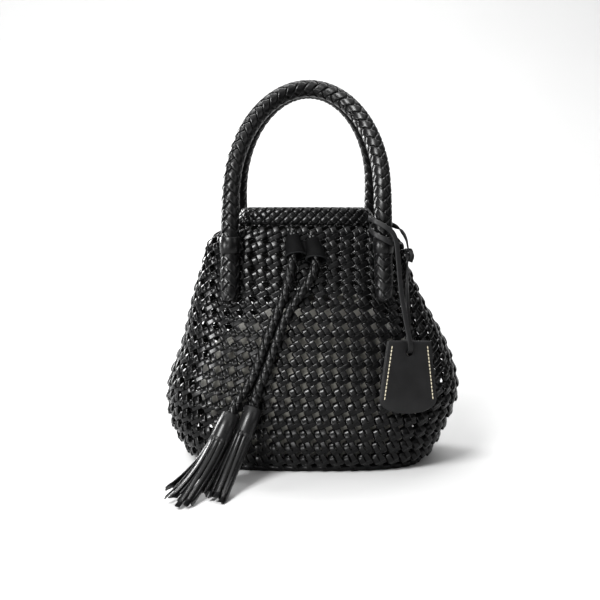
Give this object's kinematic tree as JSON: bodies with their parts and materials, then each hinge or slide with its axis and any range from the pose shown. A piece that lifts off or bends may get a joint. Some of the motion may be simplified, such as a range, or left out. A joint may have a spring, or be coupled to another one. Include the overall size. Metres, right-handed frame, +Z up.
{
  "type": "woven leather drawstring handbag",
  "caption": "Small open-mesh handbag of wound leather lace with arched braided handles, a plaited rim, tasselled drawstrings, a hang tag and an inner cloth pouch.",
  "frame": {"origin": "middle of the flat underside, on the surface that the bag stands on", "axes": "+Z up through the mouth, the front with the drawstrings faces -Y, +X to the side of the hang tag"},
  "size_m": [0.2655, 0.2451, 0.3494],
  "materials": {
    "woven_leather": "semi-gloss black lace leather",
    "braided_leather": "semi-gloss black braided leather",
    "matte_leather": "matte smooth black leather",
    "pouch_cloth": "plain woven olive grey cloth"
  },
  "bodies": {
    "root": {"woven_body": "woven_leather", "rim_braid": "woven_leather", "handle_front": "braided_leather", "handle_back": "braided_leather", "handle_wrap_front_left": "matte_leather", "handle_wrap_front_right": "matte_leather", "handle_wrap_back_left": "matte_leather", "handle_wrap_back_right": "matte_leather", "cord_slider": "matte_leather", "drawstring_left": "braided_leather", "drawstring_right": "braided_leather", "tassel_left": "matte_leather", "tassel_right": "matte_leather", "hang_tag": "matte_leather", "tag_lace": "matte_leather", "lace_knot": "matte_leather", "inner_pouch": "pouch_cloth"}
  },
  "joints": []
}
